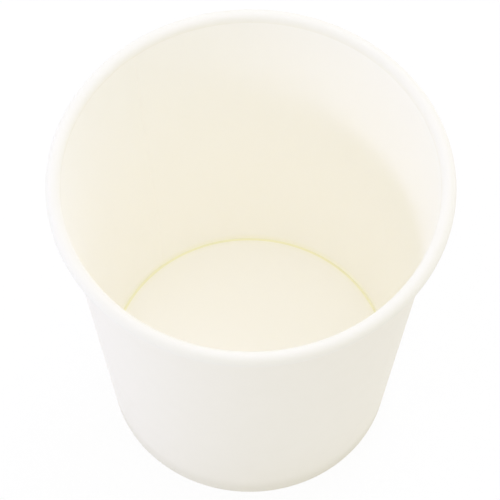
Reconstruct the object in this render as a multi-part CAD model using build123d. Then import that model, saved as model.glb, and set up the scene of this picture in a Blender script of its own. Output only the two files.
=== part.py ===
from build123d import *
import os
from math import acos, asin, atan2, ceil, cos, degrees, radians, sin, sqrt, tan

# Single-wall paper coffee cup, in millimetres, standing on the table at the origin with +Z up.
# It is made of two pieces of coated board: a side wall wrapped from one fan-shaped blank, with a rolled
# rim above and a folded hem below, and a bottom disc whose turned-down skirt is held in that hem.

# Overall cup
rim_diameter = 90.0
base_diameter = 62.3
cup_height = 87.0
wall_paper = 0.36
floor_paper = 0.32
seal_film = 0.03

# Rolled rim: outside width of the roll, air between its turns, and how far its tip is tucked in
curl_diameter = 3.4
curl_air_gap = 0.25
curl_tip_turn = 40.0

# Bottom: top of the floor above the table, inside radius of the disc's bend, room from the free edge of
# the hem up to the floor, and room from the edge of the skirt down to the fold
floor_height = 6.5
floor_bend_radius = 0.35
hem_edge_room = 1.2
skirt_edge_room = 0.1

# Side seam: where its inner edge lies, how far the two ends lap, and the steps left after pressing
seam_azimuth = 129.0
lap_width = 7.5
lap_foot_height = 0.9
lap_outer_step = 0.3
lap_inner_step = 0.12
lap_end_room = 0.5
ramp_start_angle = 2.0
cut_overrun = 0.2

# Bends are made of narrow flats that stay this close to the true curve
bend_tolerance = 0.06


def direction(heading):
    """Unit vector of the radial plane at a heading in degrees from the outward direction."""
    return Vector(cos(radians(heading)), sin(radians(heading)))


def sheet_section(start, heading, runs, thickness):
    """Section of a bent sheet in the radial plane, from the path of its middle line.

    Each run is (length, 0) for a straight stretch or (radius, turn) for a bend, and a positive turn, in
    degrees, bends to the left of the heading. A bend as tight as the sheet is sharp on its inside.
    """
    here = Vector(*start)
    stations = [(here, heading)]
    for size, turn in runs:
        if turn == 0:
            here = here + direction(heading) * size
            stations.append((here, heading))
            continue
        widest_flat = degrees(2 * acos(1 - min(bend_tolerance / size, 1)))
        flats = ceil(abs(turn) / widest_flat)
        flat_turn = turn / flats
        chord = 2 * size * sin(radians(abs(flat_turn) / 2))
        for _ in range(flats):
            here = here + direction(heading + flat_turn / 2) * chord
            heading = heading + flat_turn
            stations.append((here, heading))
    left_side = [point + direction(angle + 90) * (thickness / 2) for point, angle in stations]
    right_side = [point - direction(angle + 90) * (thickness / 2) for point, angle in stations]
    outline = []
    for point in left_side + right_side[::-1]:
        if not outline or point != outline[-1]:
            outline.append(point)
    return Plane.XZ * make_face(Polyline(*outline, close=True))


# Slope of the wall: its outer face runs from the base circle to a tangent of the roll's inner face
rim_radius = rim_diameter / 2
base_radius = base_diameter / 2
roll_radius = (curl_diameter - wall_paper) / 2
roll_centre = Vector(rim_radius - curl_diameter / 2, cup_height - curl_diameter / 2)
base_to_roll = roll_centre - Vector(base_radius, 0)
roll_inner_radius = roll_radius - wall_paper / 2
slope = degrees(atan2(base_to_roll.X, base_to_roll.Y) - asin(roll_inner_radius / base_to_roll.length))
up_wall = direction(90 - slope)
out_of_wall = direction(-slope)
rise = tan(radians(slope))


def on_wall(height, depth):
    """Point of the radial plane at a height, a depth under the outer face of the wall."""
    return Vector(base_radius + height * rise - depth / out_of_wall.X, height)


def wrapped_blank():
    """Side wall without its seam: hem leg, fold at the foot, sloping wall and rolled rim in one section."""
    fold_radius = wall_paper / 2
    layers = wall_paper + floor_paper + 2 * seal_film
    foot_flat = (layers - 2 * fold_radius) / out_of_wall.X
    outer_fold = on_wall(wall_paper, wall_paper)
    inner_fold = outer_fold - Vector(foot_flat, 0)
    leg_foot = inner_fold - out_of_wall * fold_radius
    leg_length = (floor_height - floor_paper - hem_edge_room - leg_foot.Y) / up_wall.Y
    wall_foot = outer_fold + out_of_wall * fold_radius
    wall_top = roll_centre - out_of_wall * roll_radius
    turn_pitch = (wall_paper + curl_air_gap) / 2
    runs = [
        (leg_length, 0),
        (fold_radius, 90 + slope),
        (foot_flat, 0),
        (fold_radius, 90 - slope),
        ((wall_top - wall_foot).length, 0),
        (roll_radius, slope - 90),
        (roll_radius, -90),
        (roll_radius - turn_pitch, -180),
        (roll_radius - 2 * turn_pitch, -curl_tip_turn),
    ]
    section = sheet_section(leg_foot + up_wall * leg_length, -90 - slope, runs, wall_paper)
    return revolve(section, Axis.Z)


def lap_layer(low_height, high_height, face_depth, buried, step, first_azimuth, last_azimuth):
    """Layer on a face of the wall, one step thick, which runs out in a flat ramp at its last azimuth."""
    length = (high_height - low_height) / up_wall.Y
    middle = on_wall(low_height, face_depth) + out_of_wall * ((step - buried) / 2)
    section = sheet_section(middle, 90 - slope, [(length, 0)], step + buried)
    layer = revolve(Rot(0, 0, first_azimuth) * section, Axis.Z, last_azimuth - first_azimuth)
    apex = Vector(0, 0, -on_wall(0, face_depth).X / rise)
    ramp_normal = direction(last_azimuth) - Vector(0, 0, rise * cos(radians(ramp_start_angle)))
    return split(layer, Plane(apex, z_dir=ramp_normal), Keep.BOTTOM)


def side_wall():
    """The blank with its side seam: one end laps over the other and steps off it on both faces."""
    lap_angle = degrees(lap_width / on_wall(cup_height / 2, 0).X)
    ramp_angle = degrees(sqrt(2 * lap_outer_step / on_wall(cup_height, 0).X)) + ramp_start_angle
    lap_top = cup_height - curl_diameter
    outer_lap = lap_layer(
        lap_foot_height, lap_top, 0, wall_paper / 2, lap_outer_step,
        seam_azimuth - lap_angle, seam_azimuth + ramp_angle,
    )
    inner_groove = lap_layer(
        floor_height + lap_end_room, lap_top - lap_end_room, wall_paper, cut_overrun, lap_inner_step,
        seam_azimuth, seam_azimuth + ramp_angle,
    )
    return wrapped_blank() + outer_lap - inner_groove


def bottom_disc():
    """Round blank with its edge turned down as a skirt, parallel to the wall and one film inside it."""
    bend_radius = floor_bend_radius + floor_paper / 2
    floor_middle = floor_height - floor_paper / 2
    skirt_depth = wall_paper + seal_film + floor_paper / 2
    bend_centre = on_wall(floor_middle - bend_radius, skirt_depth + bend_radius)
    skirt_top = bend_centre + out_of_wall * bend_radius
    skirt_length = (skirt_top.Y - wall_paper - skirt_edge_room) / up_wall.Y
    runs = [(bend_centre.X, 0), (bend_radius, -90 - slope), (skirt_length, 0)]
    section = sheet_section((0, floor_middle), 0, runs, floor_paper)
    return revolve(section, Axis.Z)


os.makedirs("parts", exist_ok=True)
export_step(side_wall(), "parts/side_wall.step")
export_step(bottom_disc(), "parts/bottom_disc.step")
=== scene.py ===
from math import asin, atan2, copysign, cos, hypot, pi, radians, sin, sqrt, tan

import bmesh
import bpy
from mathutils import Matrix, Vector


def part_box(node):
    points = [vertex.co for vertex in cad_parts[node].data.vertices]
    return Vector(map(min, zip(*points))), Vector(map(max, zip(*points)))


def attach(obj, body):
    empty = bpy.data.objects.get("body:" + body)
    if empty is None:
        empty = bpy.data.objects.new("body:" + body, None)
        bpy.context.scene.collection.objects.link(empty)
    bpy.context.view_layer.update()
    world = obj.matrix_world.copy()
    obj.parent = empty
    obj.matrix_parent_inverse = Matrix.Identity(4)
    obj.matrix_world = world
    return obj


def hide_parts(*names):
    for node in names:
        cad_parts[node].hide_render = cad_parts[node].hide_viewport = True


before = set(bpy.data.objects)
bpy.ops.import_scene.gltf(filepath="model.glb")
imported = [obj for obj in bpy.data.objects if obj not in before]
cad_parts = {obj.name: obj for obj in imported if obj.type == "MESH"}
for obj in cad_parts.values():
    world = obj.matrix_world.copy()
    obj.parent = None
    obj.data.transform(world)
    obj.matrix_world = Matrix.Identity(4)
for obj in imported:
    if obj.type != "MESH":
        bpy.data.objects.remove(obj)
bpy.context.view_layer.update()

# Side wall
# One fan-shaped blank of white cup board, coated on its drink side, wrapped into a cone and heat-sealed
# where its two ends lap. Its top edge is rolled outward as the drinking rim, and its foot is folded in and
# up as the hem that grips the bottom disc.
wall_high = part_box("side_wall")[1]
rim_radius = wall_high.x
cup_height = wall_high.z
foot_radius = 0.03115
wall_board = 0.00036
floor_board = 0.00032
seal_film = 0.00003
roll_width = 0.0034
roll_air_gap = 0.00025
roll_tip_turn = radians(40)
hem_edge_height = 0.00498

roll_radius = (roll_width - wall_board) / 2
roll_inner_radius = roll_radius - wall_board / 2
roll_centre = Vector((rim_radius - roll_width / 2, 0, cup_height - roll_width / 2))
foot_to_roll = roll_centre - Vector((foot_radius, 0, 0))
slope = atan2(foot_to_roll.x, foot_to_roll.z) - asin(roll_inner_radius / foot_to_roll.length)
up_wall = Vector((sin(slope), 0, cos(slope)))
out_of_wall = Vector((cos(slope), 0, -sin(slope)))

# Points this close are one point, and edges that turn by more than this stay sharp
same_point = 0.000001
sharp_angle = radians(40)


def on_wall(height, depth):
    """Point of the radial plane at a height, a depth under the outer face of the wall."""
    return Vector((foot_radius + height * tan(slope) - depth / cos(slope), 0, height))


def along(heading):
    """Unit vector of the radial plane at an angle from the outward direction."""
    return Vector((cos(heading), 0, sin(heading)))


def points_of(line):
    """The points of a line of edges, each once."""
    return list(dict.fromkeys(vert for edge in line for vert in edge.verts))


def draw_face(mesh, start, heading, runs, offset):
    """Draw one face of a bent board in the radial plane, and return its two ends and its line of edges.

    The runs follow the middle of the board: (length, 0, pieces) is straight, (radius, turn, pieces) is a
    bend, and a positive turn goes to the left. The face lies at an offset to the left of that middle line.
    """
    drawn_before = set(mesh.edges)
    first = mesh.verts.new(start + along(heading + pi / 2) * offset)
    tip = first
    for size, turn, pieces in runs:
        if turn == 0:
            for _ in range(pieces):
                tip = bmesh.ops.extrude_vert_indiv(mesh, verts=[tip])["verts"][0]
                bmesh.ops.translate(mesh, verts=[tip], vec=along(heading) * size / pieces)
            continue
        radius = size - copysign(offset, turn * offset)
        if radius > same_point:
            centre = tip.co + along(heading + pi / 2) * copysign(radius, turn)
            bend = bmesh.ops.spin(mesh, geom=[tip], cent=centre, axis=(0, -1, 0), angle=turn, steps=pieces)
            tip = next(part for part in bend["geom_last"] if isinstance(part, bmesh.types.BMVert))
        heading += turn
    return (first, tip), [edge for edge in mesh.edges if edge not in drawn_before]


def wrap(mesh, line, arcs):
    """Sweep a line about the cup's axis and return the faces of the last arc.

    Each arc is (angle, steps, material place of its faces).
    """
    swept = line + points_of(line)
    for angle, steps, place in arcs:
        made_before = set(mesh.faces)
        spun = bmesh.ops.spin(mesh, geom=swept, cent=(0, 0, 0), axis=(0, 0, 1), angle=angle, steps=steps)
        swept = spun["geom_last"]
        arc_faces = [face for face in mesh.faces if face not in made_before]
        for face in arc_faces:
            face.material_index = place
    return arc_faces


def copy_round(mesh, sector, angle, copies):
    """Repeat a swept sector about the cup's axis, so that all its copies together fill an angle."""
    parts = dict.fromkeys(part for face in sector for part in (face, *face.edges, *face.verts))
    bmesh.ops.spin(
        mesh, geom=list(parts), cent=(0, 0, 0), axis=(0, 0, 1), angle=angle * (copies - 1) / copies,
        steps=copies - 1, use_duplicate=True,
    )
    bmesh.ops.remove_doubles(mesh, verts=mesh.verts, dist=same_point)


def finish_mesh(mesh, name, *finishes):
    """Turn a merged mesh into a smooth object with sharp cut edges, and give it its finishes."""
    bmesh.ops.recalc_face_normals(mesh, faces=mesh.faces)
    for face in mesh.faces:
        face.smooth = True
    data = bpy.data.meshes.new(name)
    mesh.to_mesh(data)
    mesh.free()
    data.set_sharp_from_angle(angle=sharp_angle)
    for finish in finishes:
        data.materials.append(finish)
    piece = bpy.data.objects.new(name, data)
    bpy.context.collection.objects.link(piece)
    return piece


class Field:
    """An output of a material's nodes. Sums and products of fields add Math nodes to that material."""

    def __init__(self, tree, output=None):
        self.tree = tree
        self.output = output

    def add(self, kind, settings, sockets, result=0):
        """Add a node: its settings first, then the values or links of its sockets."""
        node = self.tree.nodes.new(kind)
        for name, value in settings.items():
            setattr(node, name, value)
        for name, value in sockets.items():
            if isinstance(value, Field):
                self.tree.links.new(value.output, node.inputs[name])
            else:
                node.inputs[name].default_value = value
        return Field(self.tree, node.outputs[result] if node.outputs else None)

    def maths(self, operation, first, second):
        return self.add("ShaderNodeMath", {"operation": operation}, {0: first, 1: second})

    def __add__(self, other):
        return self.maths("ADD", self, other)

    __radd__ = __add__

    def __sub__(self, other):
        return self.maths("SUBTRACT", self, other)

    def __rsub__(self, other):
        return self.maths("SUBTRACT", other, self)

    def __mul__(self, other):
        return self.maths("MULTIPLY", self, other)

    __rmul__ = __mul__


# Sockets of a Mix node that mixes colours
mix_factor, first_colour, second_colour, mixed_colour = 0, 6, 7, 2

# Painted shade beside the corner of the floor: a yellowish tint that fades out from the corner, for the
# light that bounces in the corner
floor_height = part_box("bottom_disc")[1].z
floor_corner = on_wall(floor_height, wall_board)
corner_shade_colour = 0.98, 0.965, 0.66, 1
corner_shade_reach = 0.002
corner_shade_share = 0.2


def under_corner_shade(colour, place, height):
    """A colour under the painted corner shade, which takes its share at the corner and fades out at its
    reach.
    """
    level = place.add("ShaderNodeMapping", {}, {"Vector": place, "Scale": (1, 1, 0)})
    radius = place.add("ShaderNodeVectorMath", {"operation": "LENGTH"}, {0: level}, "Value")
    section = place.add("ShaderNodeCombineXYZ", {}, {"X": radius, "Z": height})
    from_corner = place.add(
        "ShaderNodeVectorMath", {"operation": "DISTANCE"}, {0: section, 1: floor_corner}, "Value"
    )
    corner_tint_share = place.add(
        "ShaderNodeMapRange", {"interpolation_type": "SMOOTHSTEP"},
        {"Value": from_corner, "From Min": corner_shade_reach, "From Max": 0.0, "To Max": corner_shade_share},
    )
    return place.add(
        "ShaderNodeMix", {"data_type": "RGBA"},
        {mix_factor: corner_tint_share, first_colour: colour, second_colour: corner_shade_colour}, mixed_colour,
    )


# Grain of the board, and the zone near the foot where the hem backs it, which is painted darker as painted
# shade
noise_detail = 3.0
fibre_roughness = 0.6
mean_shade = 0.85
mottle = 0.15
cloud_relief = 0.5
roughness_spread = 0.1
shaded_foot_lightness = 0.4
painted_shade_blur = 0.003


def board_finish(
    name, light, dark, roughness, shine, cloud_width, fibre_width, fibre_length, fibre_height,
    painted_shade_height=0.0, corner_shaded=False,
):
    """Cup board: a cloudy formation, fine fibres that run up the cup, and painted shade below a height.

    In that zone the board is backed by the hem, and its colour is painted darker as painted shade: the
    shadow at the foot, and the light that doesn't shine through it from inside.
    """
    finish = bpy.data.materials.new(name)
    finish.use_nodes = True
    tree = finish.node_tree
    tree.nodes.clear()
    place = Field(tree).add("ShaderNodeTexCoord", {}, {}, "Object")
    drawn_up = place.add(
        "ShaderNodeMapping", {}, {"Vector": place, "Scale": (1, 1, fibre_width / fibre_length)}
    )
    cloud = place.add(
        "ShaderNodeTexNoise", {}, {"Vector": place, "Scale": 1 / cloud_width, "Detail": noise_detail}
    )
    fibre = place.add(
        "ShaderNodeTexNoise", {},
        {"Vector": drawn_up, "Scale": 1 / fibre_width, "Detail": noise_detail, "Roughness": fibre_roughness},
    )
    height = place.add("ShaderNodeSeparateXYZ", {}, {"Vector": place}, "Z")
    # Painted shade: below a height near the foot the colour is painted darker
    unshaded_share = place.add(
        "ShaderNodeMapRange", {"interpolation_type": "SMOOTHSTEP"},
        {
            "Value": height,
            "From Min": painted_shade_height - painted_shade_blur,
            "From Max": painted_shade_height + painted_shade_blur,
        },
    )
    lightness = shaded_foot_lightness + (1 - shaded_foot_lightness) * unshaded_share
    shade = lightness * (mean_shade + mottle * (cloud + fibre - 1))
    colour = place.add(
        "ShaderNodeMix", {"data_type": "RGBA"},
        {mix_factor: shade, first_colour: (*dark, 1), second_colour: (*light, 1)}, mixed_colour,
    )
    # Painted shade: a yellowish tint that fades out from the floor's corner
    if corner_shaded:
        colour = under_corner_shade(colour, place, height)
    relief = place.add(
        "ShaderNodeBump", {},
        {"Strength": 1.0, "Distance": fibre_height, "Height": fibre + cloud_relief * cloud},
    )
    surface = place.add(
        "ShaderNodeBsdfPrincipled", {},
        {
            "Base Color": colour,
            "Roughness": roughness * (1 - roughness_spread + 2 * roughness_spread * fibre),
            "Normal": relief,
            "Specular IOR Level": shine,
        },
    )
    surface.add("ShaderNodeOutputMaterial", {}, {"Surface": surface})
    return finish


# The lap of the seam: the outer end's cut edge shows outside, the inner end's cut edge shows inside, and
# past it the board rises from under the lap in a flat ramp
seam_azimuth = radians(129)
lap_width = 0.0075
lap_outer_step = 0.0003
lap_inner_step = 0.00005
ramp_start_angle = radians(2)
cut_edge_angle = 0.0003
lap_angle = lap_width / on_wall(cup_height / 2, 0).x
lap_start = seam_azimuth - lap_angle
ramp_angle = sqrt(2 * lap_outer_step / on_wall(cup_height, 0).x) + ramp_start_angle

# The arcs of the wall, from the start of the lap: the lap, the ramp, and one of the like sectors of the rest
lap_steps = 16
ramp_steps = 12
sector_steps = 28
plain_sectors = 16
plain_angle = 2 * pi - lap_angle - ramp_angle
wall_arcs = [
    (cut_edge_angle, 1),
    (lap_angle - cut_edge_angle, lap_steps),
    (cut_edge_angle, 1),
    (ramp_angle - cut_edge_angle, ramp_steps),
    (plain_angle / plain_sectors, sector_steps),
]
outside, coated, roll_painted_darker, cut_edge = range(4)
coated_arcs = [(*arc, coated) for arc in wall_arcs]
edge_arcs = [(*arc, cut_edge) for arc in wall_arcs]
outside_arcs = edge_arcs[:1] + [(*arc, outside) for arc in wall_arcs[1:]]

# The blank from the free edge of the hem, down and round the foot, up the wall and round the roll to its tip
leg_pieces = 6
fold_pieces = 6
wall_pieces = 22
roll_rise_pieces = 8
roll_fall_pieces = 9
roll_return_pieces = 15
roll_tip_pieces = 4
fold_radius = wall_board / 2
foot_flat = (floor_board + 2 * seal_film) / cos(slope)
outer_fold = on_wall(wall_board, wall_board)
leg_foot = outer_fold - Vector((foot_flat, 0, 0)) - out_of_wall * fold_radius
leg_length = (hem_edge_height - leg_foot.z) / cos(slope)
wall_foot = outer_fold + out_of_wall * fold_radius
wall_top = roll_centre - out_of_wall * roll_radius
turn_pitch = (wall_board + roll_air_gap) / 2
blank_runs = [
    (leg_length, 0, leg_pieces),
    (fold_radius, pi / 2 + slope, fold_pieces),
    (foot_flat, 0, 1),
    (fold_radius, pi / 2 - slope, fold_pieces),
    ((wall_top - wall_foot).length, 0, wall_pieces),
    (roll_radius, slope - pi / 2, roll_rise_pieces),
    (roll_radius, -pi / 2, roll_fall_pieces),
    (roll_radius - turn_pitch, -pi, roll_return_pieces),
    (roll_radius - 2 * turn_pitch, -roll_tip_turn, roll_tip_pieces),
]
blank_start = leg_foot + up_wall * leg_length
blank_heading = -pi / 2 - slope

wall_mesh = bmesh.new()
ends = []
sector = []
for offset, arcs in ((wall_board / 2, coated_arcs), (-wall_board / 2, outside_arcs)):
    face_ends, line = draw_face(wall_mesh, blank_start, blank_heading, blank_runs, offset)
    to_lap = Matrix.Rotation(lap_start, 3, "Z")
    bmesh.ops.rotate(wall_mesh, verts=points_of(line), cent=(0, 0, 0), matrix=to_lap)
    ends.append(face_ends)
    sector += wrap(wall_mesh, line, arcs)
for coated_end, outside_end in zip(*ends):
    sector += wrap(wall_mesh, [wall_mesh.edges.new((coated_end, outside_end))], edge_arcs)
copy_round(wall_mesh, sector, plain_angle, plain_sectors)

# Pressed into the wrapped board: the lap's steps, which fade out at the foot and in the roll, and the fine
# ribs that the sealing roller leaves on the hem inside the base
rib_count = 120
rib_depth = 0.00005
rib_foot = 2 * wall_board
foot_fade = 4 * wall_board
same_face = 0.00002
hem_depth = 2 * wall_board + floor_board + 2 * seal_film
ramp_end = lap_angle + ramp_angle


def ease(value, low, high):
    """Smooth step from 0 at low to 1 at high."""
    share = min(max((value - low) / (high - low), 0), 1)
    return share * share * (3 - 2 * share)


def lap_rise(turn, edge_turn, step):
    """How far a face stands out at an angle past the lap's start: a sharp edge, then a flat ramp."""
    if not edge_turn + cut_edge_angle / 2 < turn < ramp_end:
        return 0
    return min(step, on_wall(cup_height / 2, 0).x * (ramp_end - turn) ** 2 / 2)


for vert in wall_mesh.verts:
    x, y, z = vert.co
    radius = hypot(x, y)
    azimuth = atan2(y, x)
    turn = (azimuth - lap_start) % (2 * pi)
    depth = (on_wall(z, 0).x - radius) * cos(slope)
    outward = Matrix.Rotation(azimuth, 3, "Z") @ out_of_wall
    to_roll = Vector((roll_centre.x - radius, 0, roll_centre.z - z))
    above_foot = ease(z, 0, foot_fade)
    under_roll = 1 - ease(z, cup_height - roll_width, roll_centre.z)
    outer_rise = lap_rise(turn, 0, lap_outer_step)
    inner_rise = lap_rise(turn, lap_angle, lap_inner_step)
    if abs(depth) < same_face and z < roll_centre.z:
        vert.co += outward * above_foot * under_roll * outer_rise
    elif abs(depth - wall_board) < same_face and z < roll_centre.z:
        vert.co += outward * above_foot * inner_rise
    elif abs(to_roll.length - roll_width / 2) < same_face:
        vert.co += outward * inner_rise * max(to_roll.x / to_roll.length, 0)
    elif abs(depth - hem_depth) < same_face:
        under_edge = 1 - ease(z, hem_edge_height - wall_board, hem_edge_height)
        pressed = ease(z, rib_foot, foot_fade) * under_edge
        vert.co += outward * rib_depth * pressed * (1 + cos(rib_count * azimuth)) / 2

# Coated faces in the roll take a darker copy of the coating, which is painted shade
for face in wall_mesh.faces:
    x, y, z = face.calc_center_median()
    in_roll = hypot(hypot(x, y) - roll_centre.x, z - roll_centre.z) < roll_width / 2
    if in_roll and face.material_index == coated:
        face.material_index = roll_painted_darker

# Height below which the outside is painted darker, as painted shade at the foot
painted_shade_height = 0.0046
coated_light = 0.99, 0.977, 0.93
coated_dark = 0.975, 0.957, 0.9
coated_grain = dict(roughness=0.5, shine=0.25, cloud_width=0.006, fibre_width=0.0004, fibre_height=0.000006)
side_wall = finish_mesh(
    wall_mesh, "side_wall",
    board_finish(
        "matt outside of the board", light=(0.967, 0.938, 0.858), dark=(0.85, 0.823, 0.732),
        roughness=0.8, shine=0.2, cloud_width=0.005, fibre_width=0.00025, fibre_length=0.0008,
        fibre_height=0.000012, painted_shade_height=painted_shade_height,
    ),
    board_finish(
        "coated drink side", light=coated_light, dark=coated_dark, fibre_length=0.0009, corner_shaded=True,
        **coated_grain,
    ),
    # Painted shade: the same coating as the drink side, painted darker on the roll
    board_finish(
        "coating on the roll with painted shade", light=(0.951, 0.931, 0.86), dark=(0.926, 0.903, 0.827), fibre_length=0.0009,
        **coated_grain,
    ),
    board_finish(
        "cut edge of the board", light=(0.95, 0.93, 0.87), dark=(0.91, 0.88, 0.8),
        roughness=0.95, shine=0.1, cloud_width=0.0006, fibre_width=0.00008, fibre_length=0.0001,
        fibre_height=0.00003,
    ),
)
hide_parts("side_wall")
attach(side_wall, "root")

# Bottom disc
# A round blank of slightly thinner coated board. Its edge is turned down as a skirt, which is heat-sealed
# between the wall and the wall's hem, so that the floor lies a little above the table.
disc_inner_bend = 0.00035
skirt_edge_height = 0.00046
floor_pieces = 8
disc_bend_pieces = 8
skirt_pieces = 3
disc_sectors = 16
disc_sector_steps = 15
disc_bend_radius = disc_inner_bend + floor_board / 2
floor_middle = floor_height - floor_board / 2
skirt_depth = wall_board + seal_film + floor_board / 2
bend_centre = on_wall(floor_middle - disc_bend_radius, skirt_depth + disc_bend_radius)
skirt_top = bend_centre + out_of_wall * disc_bend_radius
disc_runs = [
    (bend_centre.x, 0, floor_pieces),
    (disc_bend_radius, -pi / 2 - slope, disc_bend_pieces),
    ((skirt_top.z - skirt_edge_height) / cos(slope), 0, skirt_pieces),
]

disc_mesh = bmesh.new()
floor_side, underside, melted = range(3)
disc_arc = 2 * pi / disc_sectors, disc_sector_steps
ends = []
sector = []
for offset, place in ((floor_board / 2, floor_side), (-floor_board / 2, underside)):
    face_ends, line = draw_face(disc_mesh, Vector((0, 0, floor_middle)), 0, disc_runs, offset)
    ends.append(face_ends)
    sector += wrap(disc_mesh, line, [(*disc_arc, place)])
skirt_edge = disc_mesh.edges.new((ends[0][1], ends[1][1]))
sector += wrap(disc_mesh, [skirt_edge], [(*disc_arc, underside)])

# Coating that melted in the heat-seal fills most of the corner between the disc's bend and the wall, and
# the step of the seam there
bead_angle = radians(68)
bend_top = disc_bend_radius + floor_board / 2
bead_inner = bend_centre + along(bead_angle) * bend_top
bead_outer = on_wall(bead_inner.z, wall_board - lap_inner_step)
bead_foot = bend_centre + out_of_wall * (bend_top + seal_film)
bead = [disc_mesh.verts.new(point) for point in (bead_inner, bead_outer, bead_foot)]
bead_line = [disc_mesh.edges.new((bead[side - 1], bead[side])) for side in range(len(bead))]
sector += wrap(disc_mesh, bead_line, [(*disc_arc, melted)])
copy_round(disc_mesh, sector, 2 * pi, disc_sectors)

bottom_disc = finish_mesh(
    disc_mesh, "bottom_disc",
    board_finish(
        "coated floor", light=coated_light, dark=coated_dark, fibre_length=0.0006, corner_shaded=True,
        **coated_grain,
    ),
    board_finish(
        "bare underside", light=(0.94, 0.92, 0.88), dark=(0.91, 0.89, 0.85),
        roughness=0.85, shine=0.2, cloud_width=0.005, fibre_width=0.00025, fibre_length=0.0005,
        fibre_height=0.000012,
    ),
    # The melted coating is real. Its deep yellow is partly painted shade, for the light that bounces in the
    # crease
    board_finish(
        "melted coating with painted crease shade", light=(0.955, 0.94, 0.7), dark=(0.935, 0.92, 0.66),
        roughness=0.4, shine=0.3, cloud_width=0.006, fibre_width=0.0004, fibre_length=0.0006,
        fibre_height=0.000003,
    ),
)
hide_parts("bottom_disc")
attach(bottom_disc, "root")

# Table
# A plain white table top, which keeps the soft shadow round the foot and is white where the light is full.
table_width = 4.0
table_white = 0.9
table_lift = 0.9
table_mesh = bmesh.new()
bmesh.ops.create_grid(table_mesh, x_segments=1, y_segments=1, size=table_width / 2)
white_table = bpy.data.materials.new("white table")
white_table.use_nodes = True
tree = white_table.node_tree
tree.nodes.clear()
camera_ray = Field(tree).add("ShaderNodeLightPath", {}, {}, "Is Camera Ray")
light_path = camera_ray.output.node
glossy_ray = Field(tree, light_path.outputs["Is Glossy Ray"])
transmission_ray = Field(tree, light_path.outputs["Is Transmission Ray"])
seen = camera_ray + glossy_ray + transmission_ray
lit = seen.add("ShaderNodeBsdfDiffuse", {}, {"Color": table_white + (1 - table_white) * seen})
glow = seen.add("ShaderNodeEmission", {}, {"Color": (1, 1, 1, 1), "Strength": 1.0})
shown = seen.add("ShaderNodeMixShader", {}, {0: seen * table_lift, 1: lit, 2: glow})
shown.add("ShaderNodeOutputMaterial", {}, {"Surface": shown})
table = finish_mesh(table_mesh, "table", white_table)

# Studio light
# A pale room lights the cup almost evenly, as a light tent does. Cool daylight adds to it: a window on the
# left lights the far right of the inside over the near rim, and soft boxes hang behind the cup, above it
# and low on its left.
room_colour = 1, 0.984, 0.908, 1
room_strength = 0.807
bright_side = 0.105, 0.105, 0.15
room = bpy.data.worlds.new("pale room")
bpy.context.scene.world = room
room.use_nodes = True
tree = room.node_tree
tree.nodes.clear()
toward = Field(tree).add("ShaderNodeTexCoord", {}, {}, "Generated")
lean = toward.add("ShaderNodeVectorMath", {"operation": "DOT_PRODUCT"}, {0: toward, 1: bright_side}, "Value")
brightness = room_strength * (1 + lean)
sky = toward.add("ShaderNodeBackground", {}, {"Color": room_colour, "Strength": brightness})
sky.add("ShaderNodeOutputWorld", {}, {"Surface": sky})

lamp_distance = 1.0
daylight = 0.53, 0.59, 1.0
window_size = 0.36, 0.08
soft_box_size = 0.6, 0.6


def hang_lamp(name, azimuth, elevation, size, power):
    """Area lamp of daylight that faces the cup from a direction, in degrees."""
    lamp = bpy.data.lights.new(name, "AREA")
    lamp.shape = "RECTANGLE"
    lamp.size, lamp.size_y = size
    lamp.color = daylight
    lamp.energy = power
    box = bpy.data.objects.new(name, lamp)
    bpy.context.collection.objects.link(box)
    level = Vector((cos(radians(azimuth)), sin(radians(azimuth)), 0))
    away = level * cos(radians(elevation)) + Vector((0, 0, sin(radians(elevation))))
    box.location = Vector((0, 0, cup_height / 2)) + away * lamp_distance
    box.rotation_euler = away.to_track_quat("Z", "Y").to_euler()


hang_lamp("window, left", 192, 23, window_size, 0.65)
hang_lamp("window, middle", 215, 23, window_size, 0.78)
hang_lamp("window, right", 238, 23, window_size, 0.25)
hang_lamp("back light", 60, 50, soft_box_size, 2.04)
hang_lamp("overhead", 90, 88, soft_box_size, 0.62)
hang_lamp("left reflector", 175, 5, soft_box_size, 1.62)

# Light passes from wall to wall many times inside the pale cup
wall_bounces = 24
bpy.context.scene.cycles.diffuse_bounces = wall_bounces
bpy.context.scene.cycles.max_bounces = wall_bounces

# Camera
# A long lens that looks down into the cup from the front.
camera_distance = 1.5
camera_elevation = radians(60.48)
camera_roll = radians(0.428)
aim = Vector((-0.00009, 0, 0.05678))
focal_length_in_pixels = 6744
picture_width = 500
eye = bpy.data.cameras.new("camera")
eye.lens = focal_length_in_pixels / picture_width * eye.sensor_width
camera = bpy.data.objects.new("camera", eye)
bpy.context.collection.objects.link(camera)
back = Vector((0, -cos(camera_elevation), sin(camera_elevation)))
level_view = back.to_track_quat("Z", "Y").to_matrix()
camera.location = aim + back * camera_distance
camera.rotation_euler = (level_view @ Matrix.Rotation(camera_roll, 3, "Z")).to_euler()
bpy.context.scene.camera = camera
bpy.context.scene.view_settings.view_transform = "Standard"
